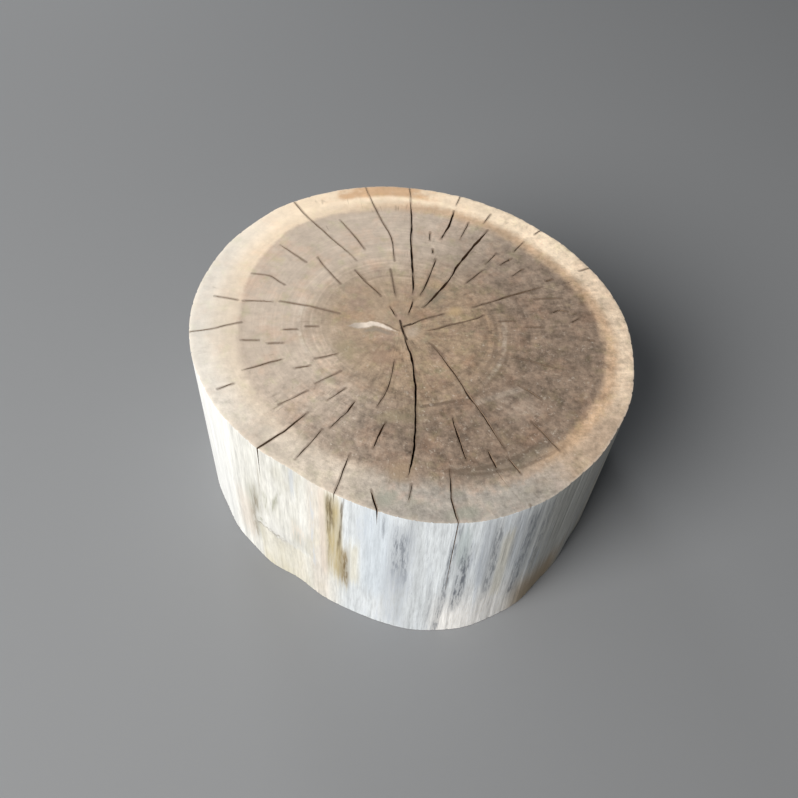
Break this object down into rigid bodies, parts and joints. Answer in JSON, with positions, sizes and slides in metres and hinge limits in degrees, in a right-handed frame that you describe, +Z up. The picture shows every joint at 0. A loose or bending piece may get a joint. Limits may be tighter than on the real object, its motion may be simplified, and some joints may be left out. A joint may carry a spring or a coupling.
{
  "type": "chopping block",
  "caption": "Squat debarked tree-trunk round with two sawn faces, open radial drying checks and a level top to chop on.",
  "frame": {"origin": "centre of the bounding box at the level of the foot's sawn face", "axes": "+Z up along the trunk, from the foot's sawn face to the top one; -Y towards the side with the long split"},
  "size_m": [0.4328, 0.4132, 0.223],
  "materials": {
    "wood": "weathered, dry and sawn, debarked side"
  },
  "bodies": {
    "root": {"log_round": "wood"}
  },
  "joints": []
}
